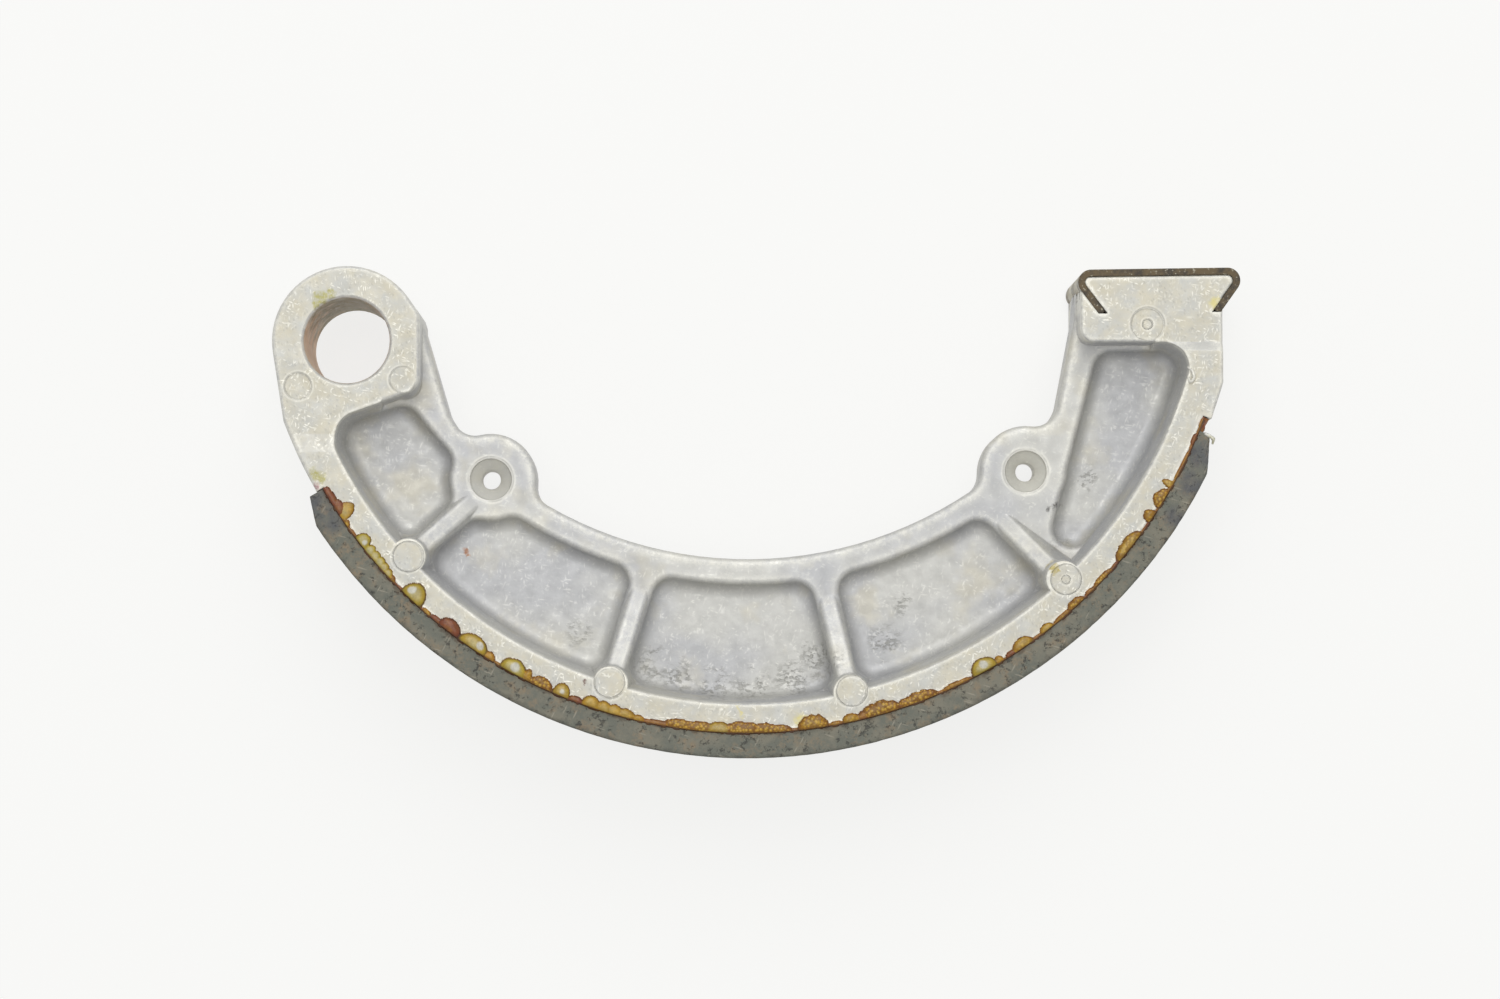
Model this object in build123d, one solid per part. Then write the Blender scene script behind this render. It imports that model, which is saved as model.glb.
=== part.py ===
from build123d import *
import math
import os

# Brake shoe for a 180 mm drum, in millimetres.
# It is drawn about the drum axis: X to the right, Y up, Z along the drum axis, with the middle of
# the shoe's width at Z = 0. At export everything moves so that the anchor bore's axis is the origin.
# Angles of places on the shoe are counted in degrees from straight down, towards +X. An inset is
# counted from the rim's inner edge towards the drum axis.

# Friction lining and its bond
drum_radius = 90.0
lining_thickness = 4.5
bond_thickness = 0.25
shoe_width = 30.0
lining_start_angle = -59.8
lining_end_angle = 67.5
trailing_chamfer_length = 5.0
trailing_chamfer_depth = 1.7
leading_chamfer_length = 6.4
leading_chamfer_depth = 2.4

# Rim of the casting, with a shoulder past each end of the lining
bond_land_start_angle = -59.9
bond_land_end_angle = 69.3
shoulder_height = 1.3
rim_thickness = 4.75
rim_edge_round = 0.4
boss_setback = 1.0

# Web, inner flange, pockets and ribs
web_thickness = 5.0
flange_rise = 3.0
flange_edge_round = 1.0
flange_centre_x = 0.2
flange_centre_y = 15.65
flange_inset = 25.55
flange_wall = 4.8
eye_flange_wall = 3.4
pocket_draft = 6.5
pocket_floor_round = 2.3
pocket_corner_round = 3.2
pocket_overrun = 0.4
rib_angles = (-47.2, -17.2, 13.0, 43.3)
rib_width = 5.0
rib_ridge_width = 2.8
rib_ridge_round = 0.8
rib_flank_lean = 25.0
rib_foot_inset = 17.5
lug_rib_foot_inset = 15.0
rib_rim_drop = 3.6
ejector_pad_radius = 3.1
ejector_pad_reach = 0.1
ejector_pad_draft = 4.0

# Anchor eye. Its X and Y are counted from the anchor bore's axis.
anchor_angle = -76.35
anchor_inset = 8.465
anchor_bore_radius = 7.5
anchor_chamfer = 0.45
eye_radius = 13.1
eye_edge_round = 0.7
eye_face_edge_x = 12.7
eye_foot_y = -8.4
eye_corner_round = 3.0
eye_foot_inner_x = 6.0
eye_foot_inner_y = -10.78
eye_rim_side_x = 2.0
eye_pocket_side_x = -2.0
eye_ramp_foot_y = -16.4
eye_ramp_top_y = -19.6
eye_pin_x = 9.8
eye_pin_y = -6.9
eye_pin_radius = 2.3
outer_pin_x = -8.5
outer_pin_y = -8.0
pin_mark_depth = 0.12
left_arm_top_x = 12.8
left_arm_top_y = 3.6
left_arm_foot_x = 17.6
left_arm_foot_y = -12.6

# Spring lugs
arm_blend_round = 4.0
lug_radius = 8.1
lug_pocket_radius = 7.6
left_lug_angle = -47.8
left_lug_inset = 19.62
right_lug_angle = 51.37
right_lug_inset = 17.32
spring_hole_radius = 1.65
spring_sink_radius = 3.7
spring_sink_step = 0.8
spring_sink_lean = 8.0
spring_sink_depth = 3.0

# Cam end. Its X and Y are counted from the middle of the cam face, and the arm's X from the block's
# inner side.
cam_face_angle = 85.65
cam_face_inset = 8.04
cam_face_tilt = 0.9
cam_block_width = 24.85
cam_block_shift = 1.325
cam_corner_round = 2.4
cam_head_overhang = 3.05
cam_head_corner_round = 1.0
cam_flank_lean = 36.5
cam_slot_depth = 6.5
cam_foot_y = -11.6
cam_ramp_top_y = -13.2
cam_edge_round = 0.5
cam_pocket_wall = 5.9
cam_pin_x = -2.15
cam_pin_y = -8.6
cam_pin_radius = 2.85
right_arm_top_x = -0.5
right_arm_top_y = -7.1
right_arm_foot_x = -3.5
right_arm_foot_y = -22.7
right_arm_top_wall = 6.0
right_arm_foot_wall = 4.9
stake_count = 5
stake_width = 1.5
stake_depth = 1.5

# Spring-steel wear clip on the cam end
clip_thickness = 1.2
clip_gap = 0.05
clip_leg_depth = 6.4
clip_tip_round = 0.45

# Squeeze-out of the bond along the shoe's upper side: place in degrees, share of the radius and
# share of the height of each bead
bead_places_and_shares = (
    (-56.5, 0.62, 0.60), (-51.5, 0.90, 0.75), (-48.0, 0.75, 0.70), (-43.4, 0.95, 0.80),
    (-34.6, 1.00, 1.00), (-30.6, 0.90, 0.85), (-27.2, 0.95, 0.90), (-22.6, 0.80, 0.75),
    (-17.4, 0.70, 0.65), (-13.6, 0.62, 0.60), (-7.4, 0.60, 0.60), (-3.2, 0.66, 0.65),
    (1.6, 0.70, 0.70), (6.4, 0.80, 0.75), (15.8, 0.86, 0.80), (20.6, 0.90, 0.80),
    (27.8, 0.85, 0.85), (35.4, 0.50, 0.50), (40.2, 0.50, 0.50), (46.6, 0.62, 0.60),
    (51.6, 0.84, 0.85), (58.6, 0.90, 0.80),
)
bead_radius = 2.6
bead_height = 1.1
bead_centre_share = 0.3
bead_lining_reach = 0.4
bead_strip_reach = 0.6
bead_strip_height = 0.25

left_flank_angle = -69.0
eye_pocket_angle = -76.0
cam_pocket_angle = 78.0
rim_start_angle = -60.0
rim_end_angle = 70.0
cut_overrun = 6.0
touch = 0.01
straight_down_angle = -90.0

bond_radius = drum_radius - lining_thickness
land_radius = bond_radius - bond_thickness
cast_rim_radius = bond_radius + shoulder_height
rim_inner_radius = land_radius - rim_thickness
flange_free_radius = rim_inner_radius - flange_inset + flange_centre_y
half_width = shoe_width / 2
half_boss = half_width - boss_setback
half_web = web_thickness / 2
half_flange = half_web + flange_rise
rib_rim_height = half_width - rib_rim_drop
cam_head_width = cam_block_width + cam_head_overhang
draft_run = math.tan(math.radians(pocket_draft))
pocket_rim_radius = rim_inner_radius - (half_width - half_web) * draft_run
boss_draft = (half_boss - half_web) * draft_run


def place(radius, degrees):
    turn = math.radians(degrees)
    return (radius * math.sin(turn), -radius * math.cos(turn))


anchor = place(rim_inner_radius - anchor_inset, anchor_angle)
left_lug = place(rim_inner_radius - left_lug_inset, left_lug_angle)
right_lug = place(rim_inner_radius - right_lug_inset, right_lug_angle)
cam_face = place(rim_inner_radius - cam_face_inset, cam_face_angle)
cam_side_x = cam_face[0] + cam_block_width / 2 - cam_block_shift
cam_inner_x = cam_side_x - cam_block_width
cam_foot = cam_face[1] + cam_foot_y


def beside_anchor(x, y):
    return (anchor[0] + x, anchor[1] + y)


def beside_cam_face(x, y):
    return (cam_face[0] + x, cam_face[1] + y)


def sector(inner, outer, start, end):
    outer_arc = CenterArc((0, 0), outer, start + straight_down_angle, end - start)
    inner_arc = CenterArc((0, 0), inner, start + straight_down_angle, end - start)
    closing = Line(outer_arc @ 1, inner_arc @ 1)
    opening = Line(inner_arc @ 0, outer_arc @ 0)
    return make_face([outer_arc, closing, inner_arc, opening])


def polygon(*points):
    return make_face(Polyline(*points, close=True))


def disc(x, y, radius):
    return Pos(x, y) * Circle(radius)


def rounded_inside(sketch, radius):
    grown = offset(sketch, radius, kind=Kind.INTERSECTION)
    return offset(grown, -radius, kind=Kind.ARC)


def rounded_outside(sketch, radius):
    shrunk = offset(sketch, -radius, kind=Kind.INTERSECTION)
    return offset(shrunk, radius, kind=Kind.ARC)


def tangent_touch(from_x, from_y):
    """Point where a line from the given point touches the eye's circle on its outer side."""
    dx = from_x - anchor[0]
    dy = from_y - anchor[1]
    turn = math.atan2(dy, dx) - math.acos(eye_radius / math.hypot(dx, dy))
    return beside_anchor(eye_radius * math.cos(turn), eye_radius * math.sin(turn))


def cam_top(x):
    return cam_face[1] + (x - cam_face[0]) * math.tan(math.radians(cam_face_tilt))


def hub_void(radius):
    return disc(flange_centre_x, flange_centre_y, radius)


def hub_side():
    return flange_free_radius - flange_centre_y - cut_overrun


def lugs(radius):
    return disc(*left_lug, radius) + disc(*right_lug, radius)


def eye_side():
    flank = place(cast_rim_radius, left_flank_angle)
    return disc(*anchor, eye_radius) + polygon(
        beside_anchor(left_arm_top_x, left_arm_top_y),
        beside_anchor(left_arm_foot_x, left_arm_foot_y),
        left_lug,
        place(pocket_rim_radius, bond_land_start_angle),
        flank,
        tangent_touch(*flank),
        anchor,
    )


def cam_side():
    corner_angle = math.degrees(math.asin(cam_side_x / cast_rim_radius))
    return polygon(
        (cam_inner_x, cam_top(cam_inner_x)),
        (cam_side_x, cam_top(cam_side_x)),
        place(cast_rim_radius, corner_angle),
        place(pocket_rim_radius, bond_land_end_angle),
        right_lug,
        (cam_inner_x + right_arm_foot_x, cam_face[1] + right_arm_foot_y),
        (cam_inner_x + right_arm_top_x, cam_face[1] + right_arm_top_y),
    )


def outline():
    corner_angle = math.degrees(math.asin(cam_side_x / cast_rim_radius))
    ring = sector(hub_side(), cast_rim_radius, left_flank_angle, corner_angle)
    whole = ring - hub_void(flange_free_radius) + eye_side() + cam_side() + lugs(lug_radius)
    head = cam_frame() * (cam_head() & above(cam_slot_depth))
    return rounded_inside(whole, arm_blend_round) + head


def rib_bar(angle, width):
    length = cast_rim_radius - hub_side()
    middle = (cast_rim_radius + hub_side()) / 2
    return Rot(0, 0, angle) * (Pos(0, -middle) * Rectangle(width, length))


def pocket_floor(start, end, hub_radius):
    whole = sector(hub_side(), pocket_rim_radius, start, end)
    whole = whole - hub_void(hub_radius) - lugs(lug_pocket_radius)
    for angle in rib_angles:
        whole = whole - rib_bar(angle, rib_width)
    return whole


def largest(sketch):
    return Sketch() + max(sketch.faces(), key=lambda face: face.area)


def middle_pockets():
    for start, end in zip(rib_angles, rib_angles[1:]):
        yield pocket_floor(start, end, flange_free_radius + flange_wall)


def eye_pocket():
    whole = pocket_floor(eye_pocket_angle, rib_angles[0], flange_free_radius + eye_flange_wall)
    lean = math.atan2(eye_foot_inner_y - eye_foot_y, eye_foot_inner_x - eye_face_edge_x)
    side = anchor[0] + eye_pocket_side_x + boss_draft
    foot_x = anchor[0] + eye_face_edge_x - boss_draft * math.sin(lean)
    foot_y = anchor[1] + eye_foot_y + boss_draft * math.cos(lean)
    reach = cast_rim_radius
    lower = polygon(
        (side, foot_y + (side - foot_x) * math.tan(lean)),
        (foot_x + reach, foot_y + reach * math.tan(lean)),
        (foot_x + reach, -reach),
        (side, -reach),
    )
    return whole & lower


def cam_pocket():
    whole = pocket_floor(rib_angles[-1], cam_pocket_angle, flange_free_radius)
    side = cam_side_x - cam_pocket_wall - boss_draft
    foot = cam_foot - boss_draft
    top_x = cam_inner_x + right_arm_top_x + right_arm_top_wall
    top_y = cam_face[1] + right_arm_top_y
    foot_x = cam_inner_x + right_arm_foot_x + right_arm_foot_wall
    foot_y = cam_face[1] + right_arm_foot_y
    slope = (top_x - foot_x) / (top_y - foot_y)
    reach = cast_rim_radius
    lower = polygon(
        (foot_x + (foot - foot_y) * slope, foot),
        (side, foot),
        (side, -reach),
        (foot_x + (-reach - foot_y) * slope, -reach),
    )
    return whole & lower


def raised(sketch, low, high):
    return Pos(0, 0, low) * extrude(sketch, high - low)


def revolved(start, end, *points):
    """Part of a ring from the section's points, given as radius and height."""
    section = Plane.XZ * polygon(*points)
    return Rot(0, 0, start + straight_down_angle) * revolve(section, Axis.Z, end - start)


def inner_plate(tools):
    inside_rim = disc(0, 0, (rim_inner_radius + land_radius) / 2)
    plate = extrude(outline() & inside_rim, half_flange) - tools
    return fillet(plate.edges().group_by(Axis.Z)[-1], flange_edge_round)


def rim_wall_radius(height):
    return rim_inner_radius - (half_width - height) * draft_run


def rim():
    ring = revolved(
        rim_start_angle,
        rim_end_angle,
        (rim_wall_radius(0), 0),
        (rim_inner_radius, half_width),
        (cast_rim_radius, half_width),
        (cast_rim_radius, 0),
    )
    inner_edge = ring.edges().group_by(Axis.Z)[-1].sort_by(lambda edge: edge.length)[-2:]
    inner_edge = min(inner_edge, key=lambda edge: edge.length)
    return fillet([inner_edge], rim_edge_round)


def ridge_section(depth):
    """Section of a rib with its ridge at the origin: a level top with rounded edges, leaning flanks."""
    side = rib_ridge_width / 2
    wide = side + depth * math.tan(math.radians(rib_flank_lean))
    section = polygon((-side, 0), (side, 0), (wide, -depth), (-wide, -depth))
    return fillet(section.vertices().group_by(Axis.Y)[-1], rib_ridge_round)


def ribs():
    """Bars that rise from the flange to the rim, wide enough for the pockets to carve their sides."""
    depth = rib_rim_height - half_web / 2
    insets = (lug_rib_foot_inset, rib_foot_inset, rib_foot_inset, lug_rib_foot_inset)
    for angle, inset in zip(rib_angles, insets):
        foot = rim_inner_radius - inset
        section = Pos(0, -foot, half_flange) * (Plane.XZ * ridge_section(depth))
        run = rim_inner_radius - foot
        rise = (rib_rim_height - half_flange) * run / (rim_wall_radius(rib_rim_height) - foot)
        bar = extrude(section, math.hypot(run, rise), dir=(0, -run, rise))
        above_middle = Pos(0, -foot, half_width / 2) * Box(4 * depth, 4 * depth, half_width)
        yield Rot(0, 0, angle) * (bar & above_middle)


def side_view(left, right, *points):
    section = Plane.YZ * polygon(*points)
    return Pos(left, 0, 0) * extrude(section, right - left)


def rounded_corner(sketch, corner, radius):
    nearest = min(sketch.vertices(), key=lambda vertex: math.dist((vertex.X, vertex.Y), corner))
    return fillet(nearest, radius)


def rounded_top(block, limits, corner, radius):
    """Rounds a raised block's upper edges along the shoe's outline and round its inner corner."""
    corner_edges = limits.edges().sort_by_distance((*corner, 0))[:3]
    borders = [outline().face().outer_wire(), *corner_edges]
    chosen = []
    for edge in block.edges():
        middle = edge @ (1 / 2)
        gaps = [border.distance_to((middle.X, middle.Y, 0)) for border in borders]
        if middle.Z > half_boss - touch and min(gaps) < touch:
            chosen.append(edge)
    return fillet(chosen, radius)


def eye_block():
    low = place(cast_rim_radius, rim_start_angle)[1] - cut_overrun / 2
    high = anchor[1] + eye_radius + cut_overrun
    far = -drum_radius
    corner = beside_anchor(eye_face_edge_x, eye_foot_y)
    inner_corner = beside_anchor(eye_foot_inner_x, eye_foot_inner_y)
    limits = polygon(
        (far, high),
        (corner[0], high),
        corner,
        inner_corner,
        beside_anchor(eye_rim_side_x, eye_ramp_top_y),
        (anchor[0] + eye_rim_side_x, low),
        (far, low),
    )
    limits = rounded_corner(limits, corner, eye_corner_round)
    shape = side_view(
        far,
        corner[0] + cut_overrun,
        (low - cut_overrun, 0),
        (low - cut_overrun, half_width),
        (anchor[1] + eye_ramp_top_y, half_width),
        (anchor[1] + eye_ramp_foot_y, half_boss),
        (high, half_boss),
        (high, 0),
    )
    block = extrude(outline() & limits, half_width) & shape
    return rounded_top(block, limits, corner, eye_edge_round)


def cam_block():
    low = place(cast_rim_radius, rim_end_angle)[1] - cut_overrun / 2
    high = cam_face[1] + cut_overrun
    wall_x = cam_side_x - cam_pocket_wall - cut_overrun
    corner = (cam_inner_x, cam_foot)
    limits = polygon(
        (cam_inner_x, high),
        (drum_radius, high),
        (drum_radius, low),
        (wall_x, low),
        (wall_x, cam_foot),
        corner,
    )
    limits = rounded_corner(limits, corner, cam_corner_round)
    shape = side_view(
        cam_inner_x - cut_overrun,
        drum_radius,
        (low - cut_overrun, 0),
        (low - cut_overrun, half_width),
        (cam_face[1] + cam_ramp_top_y, half_width),
        (cam_foot, half_boss),
        (high, half_boss),
        (high, 0),
    )
    block = extrude(outline() & limits, half_width) & shape
    return rounded_top(block, limits, corner, cam_edge_round)


def pockets():
    floors = [eye_pocket(), *middle_pockets(), cam_pocket()]
    for floor in floors:
        floor = rounded_outside(largest(floor), pocket_corner_round)
        depth = half_width - half_web + pocket_overrun
        tool = Pos(0, 0, half_web) * extrude(floor, depth, taper=-pocket_draft)
        yield fillet(tool.edges().group_by(Axis.Z)[0], pocket_floor_round)


def drafted_boss(x, y, radius, top):
    """Round boss with a flared foot, from the web's face up to the given height."""
    run = math.tan(math.radians(ejector_pad_draft))
    neck = half_web + pocket_floor_round
    foot_radius = radius + (top - neck) * run
    section = Plane.XZ * polygon(
        (0, 0),
        (foot_radius + pocket_floor_round / 2, 0),
        (foot_radius + pocket_floor_round / 2, half_web),
        (foot_radius, neck),
        (radius, top),
        (0, top),
    )
    return Pos(x, y, 0) * revolve(section, Axis.Z)


def ejector_pads():
    for angle in rib_angles:
        x, y = place(rim_inner_radius + ejector_pad_reach, angle)
        yield drafted_boss(x, y, ejector_pad_radius, half_width)


def spring_hole(x, y):
    steep = spring_sink_radius - spring_sink_step * math.tan(math.radians(spring_sink_lean))
    section = Plane.XZ * polygon(
        (0, 0),
        (spring_hole_radius, 0),
        (spring_hole_radius, half_flange - spring_sink_depth),
        (steep, half_flange - spring_sink_step),
        (spring_sink_radius, half_flange),
        (spring_sink_radius, half_boss),
        (0, half_boss),
    )
    return Pos(x, y, 0) * revolve(section, Axis.Z)


def anchor_bore():
    wide = anchor_bore_radius + anchor_chamfer
    section = Plane.XZ * polygon(
        (0, 0),
        (anchor_bore_radius, 0),
        (anchor_bore_radius, half_boss - anchor_chamfer),
        (wide, half_boss),
        (wide, half_width),
        (0, half_width),
    )
    return Pos(*anchor, 0) * revolve(section, Axis.Z)


def cam_frame():
    return Pos(*cam_face) * Rot(0, 0, cam_face_tilt)


def cam_head():
    """Dovetail head in its own frame, with its top edge on Y = 0."""
    depth = cam_slot_depth + cut_overrun
    half_top = cam_head_width / 2
    half_low = half_top - depth * math.tan(math.radians(cam_flank_lean))
    head = polygon((-half_top, 0), (half_top, 0), (half_low, -depth), (-half_low, -depth))
    return fillet(head.vertices().group_by(Axis.Y)[-1], cam_head_corner_round)


def above(depth):
    reach = cam_head_width
    return Pos(0, (reach - depth) / 2) * Rectangle(reach + cut_overrun, reach + depth)


def cam_slots():
    slot = offset(cam_head(), clip_thickness + 2 * clip_gap, kind=Kind.ARC) - cam_head()
    return cam_frame() * (slot & above(cam_slot_depth))


def stakes():
    lean = math.tan(math.radians(cam_flank_lean))
    slot_side = cam_head_width / 2 + (clip_thickness + 2 * clip_gap) / math.cos(math.atan(lean))
    lip_y = cam_face[1] - (cam_inner_x - (cam_face[0] - slot_side)) / lean
    pitch = 2 * half_boss / stake_count
    for index in range(stake_count):
        z = (index - (stake_count - 1) / 2) * pitch
        yield Pos(cam_inner_x, lip_y, z) * Box(2 * stake_depth, 2 * stake_depth, stake_width)


def pin_marks():
    high = half_boss - pin_mark_depth
    yield raised(disc(*beside_anchor(outer_pin_x, outer_pin_y), eye_pin_radius), high, half_width)
    yield raised(disc(*beside_cam_face(cam_pin_x, cam_pin_y), cam_pin_radius), high, half_width)


def casting():
    tools = list(pockets())
    carved = [raw - tools for raw in (*ribs(), eye_block(), cam_block())]
    half = inner_plate(tools) + rim() + carved
    half = half + list(ejector_pads())
    half = half + drafted_boss(*beside_anchor(eye_pin_x, eye_pin_y), eye_pin_radius, half_boss)
    land = sector(land_radius, cast_rim_radius + cut_overrun, bond_land_start_angle, bond_land_end_angle)
    holes = [spring_hole(*left_lug), spring_hole(*right_lug)]
    cuts = [extrude(land, half_width), extrude(cam_slots(), half_width), anchor_bore()]
    half = half - cuts - holes - list(pin_marks())
    whole = half + mirror(half, Plane.XY)
    return whole - list(stakes())


def lining():
    sketch = sector(bond_radius, drum_radius, lining_start_angle, lining_end_angle)
    ends = (
        (lining_start_angle, 1, trailing_chamfer_length, trailing_chamfer_depth),
        (lining_end_angle, -1, leading_chamfer_length, leading_chamfer_depth),
    )
    for angle, way, length, depth in ends:
        turn = way * math.degrees(length / drum_radius)
        outside = drum_radius + depth
        sketch = sketch - polygon(
            place(drum_radius - depth, angle),
            place(drum_radius, angle + turn),
            place(outside, angle + turn),
            place(outside, angle - turn),
            place(drum_radius - depth, angle - turn),
        )
    return Pos(0, 0, -half_width) * extrude(sketch, shoe_width)


def bead(angle, radius, height):
    ball = (radius * radius + height * height) / (2 * height)
    x, y = place(bond_radius - radius * bead_centre_share, angle)
    return Pos(x, y, half_width + height - ball) * Sphere(ball)


def bond():
    film = sector(land_radius, cast_rim_radius, bond_land_start_angle, bond_land_end_angle)
    film = film - sector(bond_radius, cast_rim_radius + cut_overrun, lining_start_angle, lining_end_angle)
    shape = Pos(0, 0, -half_width) * extrude(film, shoe_width)
    reach = bond_radius + bead_lining_reach
    strip = sector(land_radius - bead_strip_reach, reach, bond_land_start_angle, bond_land_end_angle)
    room = sector(rim_inner_radius, reach, bond_land_start_angle, bond_land_end_angle)
    room = raised(room, half_width, half_width + bead_height)
    beads = [
        bead(angle, radius_share * bead_radius, height_share * bead_height) & room
        for angle, radius_share, height_share in bead_places_and_shares
    ]
    return shape + raised(strip, half_width, half_width + bead_strip_height) + beads


def clip():
    inside = offset(cam_head(), clip_gap, kind=Kind.ARC)
    outside = offset(cam_head(), clip_gap + clip_thickness, kind=Kind.ARC)
    strip = (outside - inside) & above(clip_leg_depth)
    strip = fillet(strip.vertices().group_by(Axis.Y)[0], clip_tip_round)
    return cam_frame() * (Pos(0, 0, -half_boss) * extrude(strip, 2 * half_boss))


pieces = {
    "shoe_casting": casting,
    "brake_lining": lining,
    "bond_adhesive": bond,
    "cam_face_clip": clip,
}

os.makedirs("parts", exist_ok=True)
for name, make in pieces.items():
    solid = Pos(-anchor[0], -anchor[1], 0) * make()
    export_step(solid, f"parts/{name}.step")
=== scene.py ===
import bmesh
import bpy
import math
import random
from mathutils import Matrix, Vector, noise


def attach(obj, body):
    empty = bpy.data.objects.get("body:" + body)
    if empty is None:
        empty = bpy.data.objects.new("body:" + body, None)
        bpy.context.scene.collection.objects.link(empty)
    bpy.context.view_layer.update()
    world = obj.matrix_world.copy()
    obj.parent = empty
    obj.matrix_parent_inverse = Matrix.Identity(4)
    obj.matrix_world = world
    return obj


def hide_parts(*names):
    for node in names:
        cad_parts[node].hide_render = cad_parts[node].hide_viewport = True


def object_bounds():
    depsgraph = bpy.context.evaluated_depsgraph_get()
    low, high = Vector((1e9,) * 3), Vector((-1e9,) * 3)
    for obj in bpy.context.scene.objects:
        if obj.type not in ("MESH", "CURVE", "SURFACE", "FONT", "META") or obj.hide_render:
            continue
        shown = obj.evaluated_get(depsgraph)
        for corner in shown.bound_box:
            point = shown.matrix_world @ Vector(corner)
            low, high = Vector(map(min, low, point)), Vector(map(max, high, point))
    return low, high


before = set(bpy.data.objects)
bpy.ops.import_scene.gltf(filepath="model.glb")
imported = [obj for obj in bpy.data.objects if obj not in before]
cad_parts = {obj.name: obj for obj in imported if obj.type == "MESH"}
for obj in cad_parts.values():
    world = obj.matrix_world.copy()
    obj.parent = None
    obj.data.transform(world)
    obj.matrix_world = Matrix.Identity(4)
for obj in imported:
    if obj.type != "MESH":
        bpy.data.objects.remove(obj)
cadLow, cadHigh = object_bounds()
print("frame loaded:", sorted(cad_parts))

mm = 0.001

# millimetres; the anchor bore is at the origin, and the drum axis beside it
shoe = {
    "drumAxis": (70.0, 17.0),
    "drumRadius": 90.0,
    "liningInside": 85.5,
    "landRadius": 85.25,
    "shoulderRadius": 86.8,
    "halfWidth": 15.0,
}

view = {
    "eye": (60.0, -63.7, 838.0),
    "lookAt": (70.5, -27.85, 15.0),
    "lens": 113.3,
    "sensor": 36.0,
}

studio = {
    "floorSize": 2.4,
    "floorColour": (0.93, 0.925, 0.875, 1.0),
    "floorGlow": 0.80,
    "floorGap": 0.05,
    "worldLight": (0.80, 0.81, 0.82, 1.0),
    "worldStrength": 0.54,
    "backdrop": (1.0, 1.0, 0.99, 1.0),
    "farLamp": {"at": (0.04, 0.75, 0.90), "size": 0.8, "power": 4.1},
    "overLamp": {"at": (-0.08, 0.10, 1.0), "size": 0.6, "power": 1.8},
}


def point(values):
    return Vector(values) * mm


# a place given by its angle from straight below the drum axis, its radius and its height
def onShoe(degrees, radius, height):
    angle = math.radians(degrees)
    x, y = shoe["drumAxis"]
    return point((x + radius * math.sin(angle), y - radius * math.cos(angle), height))


def fade(low, high, value):
    share = min(1.0, max(0.0, (value - low) / (high - low)))
    return share * share * (3 - 2 * share)


# smooth wandering between -1 and 1, with lumps of about the given size in millimetres
def wander(along, across, up, size, seed):
    return noise.noise(Vector((along, across, up)) / size + Vector((seed * 17.3, seed * 5.1, seed * 9.7)))


def addCamera():
    camera = bpy.data.cameras.new("shoeCamera")
    camera.lens = view["lens"]
    camera.sensor_width = view["sensor"]
    camera.clip_start = 0.01
    camera.clip_end = 20.0
    holder = bpy.data.objects.new("shoeCamera", camera)
    forward = (point(view["lookAt"]) - point(view["eye"])).normalized()
    right = forward.cross(Vector((0, 1, 0))).normalized()
    up = right.cross(forward)
    turn = Matrix((right, up, -forward)).transposed().to_4x4()
    holder.matrix_world = Matrix.Translation(point(view["eye"])) @ turn
    bpy.context.scene.collection.objects.link(holder)
    bpy.context.scene.camera = holder


def addNode(tree, kind, inputs=None, **settings):
    node = tree.nodes.new("ShaderNode" + kind)
    for name, value in settings.items():
        setattr(node, name, value)
    for name, value in (inputs or {}).items():
        if isinstance(value, bpy.types.NodeSocket):
            tree.links.new(value, node.inputs[name])
        else:
            node.inputs[name].default_value = value
    return node


def maths(tree, operation, first, second=0.0):
    return addNode(tree, "Math", {0: first, 1: second}, operation=operation).outputs[0]


def times(tree, first, *others):
    for other in others:
        first = maths(tree, "MULTIPLY", first, other)
    return first


def vectors(tree, operation, first, second):
    return addNode(tree, "VectorMath", {0: first, 1: second}, operation=operation).outputs[0]


def distance(tree, place, spot):
    ends = {0: place, 1: point((*spot, 0))}
    return addNode(tree, "VectorMath", ends, operation="DISTANCE").outputs["Value"]


def spread(tree, value, low, high, fromLow=0.0, toHigh=1.0):
    ends = {"Value": value, "From Min": low, "From Max": high, "To Min": fromLow, "To Max": toHigh}
    return addNode(tree, "MapRange", ends).outputs[0]


def blend(tree, share, first, second):
    return addNode(tree, "Mix", {0: share, 6: first, 7: second}, data_type="RGBA").outputs[2]


# a tint laid over a colour, by the product of some shares
def tinted(tree, colour, tint, *shares):
    return blend(tree, times(tree, *shares), colour, tint)


def grain(tree, place, scale, detail=3.0, roughness=0.5):
    inputs = {"Vector": place, "Scale": scale, "Detail": detail, "Roughness": roughness}
    return addNode(tree, "TexNoise", inputs).outputs[0]


# noise by its scale, detail, roughness and the two values that give 0 and 1, or two further values
def patterns(tree, place, settings):
    made = {}
    for name, (scale, detail, roughness, *ends) in settings.items():
        made[name] = spread(tree, grain(tree, place, scale, detail, roughness), *ends)
    return made


# 0 to 1 between two distances in millimetres
def band(tree, value, ends):
    return spread(tree, value, *(end * mm for end in ends))


def addBump(tree, shader, height, strength, depth, **inputs):
    inputs = {"Height": height, "Strength": strength, "Distance": depth * mm, **inputs}
    tree.links.new(addNode(tree, "Bump", inputs).outputs[0], shader.inputs["Normal"])


def softEdges(tree, radius):
    return addNode(tree, "Bevel", {"Radius": radius * mm}, samples=6).outputs[0]


# 1 for rays that look straight at the floor or the world, reflected and passed on ones too
def seenDirectly(tree):
    path = addNode(tree, "LightPath")
    mirrored = maths(tree, "MAXIMUM", path.outputs["Is Glossy Ray"], path.outputs["Is Transmission Ray"])
    return maths(tree, "MAXIMUM", path.outputs["Is Camera Ray"], mirrored)


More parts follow.
